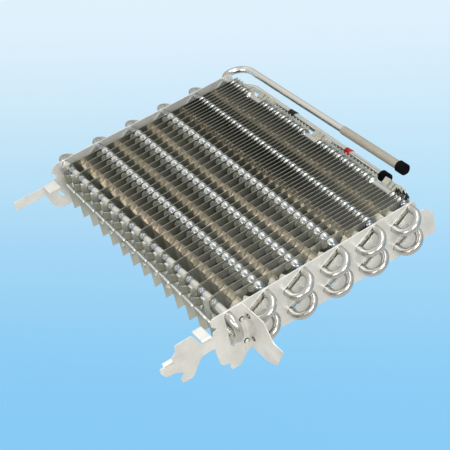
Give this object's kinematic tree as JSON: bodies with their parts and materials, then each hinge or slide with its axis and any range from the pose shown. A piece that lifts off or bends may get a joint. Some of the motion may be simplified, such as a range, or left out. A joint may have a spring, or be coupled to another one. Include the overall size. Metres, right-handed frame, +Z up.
{
  "type": "finned evaporator coil",
  "caption": "Aluminium finned-tube evaporator coil with slotted end plates, hanging arms and capped pipe ends.",
  "frame": {"origin": "middle of the bounding box in plan, on the level of its lowest point, the deeper lobe of the near plate's foot", "axes": "+X along the tubes, from the far end plate to the near one; +Y across the columns, from the arms to the two pipes; +Z up"},
  "size_m": [0.4147, 0.3364, 0.0732],
  "materials": {
    "tube": "bright drawn",
    "fin": "mill finish foil",
    "plate": "satin sheet",
    "sleeve": "matt shrink sleeve",
    "cap": "matt black"
  },
  "bodies": {
    "root": {"coil_tube": "tube", "near_end_plate": "plate", "far_end_plate": "plate", "wing_bracket": "plate", "suction_sleeve": "sleeve", "suction_cap": "cap", "inlet_cap": "cap", "long_fin_01": "fin", "long_fin_02": "fin", "long_fin_03": "fin", "long_fin_04": "fin", "long_fin_05": "fin", "long_fin_06": "fin", "long_fin_07": "fin", "long_fin_08": "fin", "long_fin_09": "fin", "long_fin_10": "fin", "long_fin_11": "fin", "long_fin_12": "fin", "long_fin_13": "fin", "long_fin_14": "fin", "medium_fin_01": "fin", "medium_fin_02": "fin", "medium_fin_03": "fin", "medium_fin_04": "fin", "medium_fin_05": "fin", "medium_fin_06": "fin", "medium_fin_07": "fin", "medium_fin_08": "fin", "medium_fin_09": "fin", "medium_fin_10": "fin", "medium_fin_11": "fin", "medium_fin_12": "fin", "medium_fin_13": "fin", "medium_fin_14": "fin", "short_fins_01": "fin", "short_fins_02": "fin", "short_fins_03": "fin", "short_fins_04": "fin", "short_fins_05": "fin", "short_fins_06": "fin", "short_fins_07": "fin", "short_fins_08": "fin", "short_fins_09": "fin", "short_fins_10": "fin", "short_fins_11": "fin", "short_fins_12": "fin", "short_fins_13": "fin", "short_fins_14": "fin"}
  },
  "joints": []
}
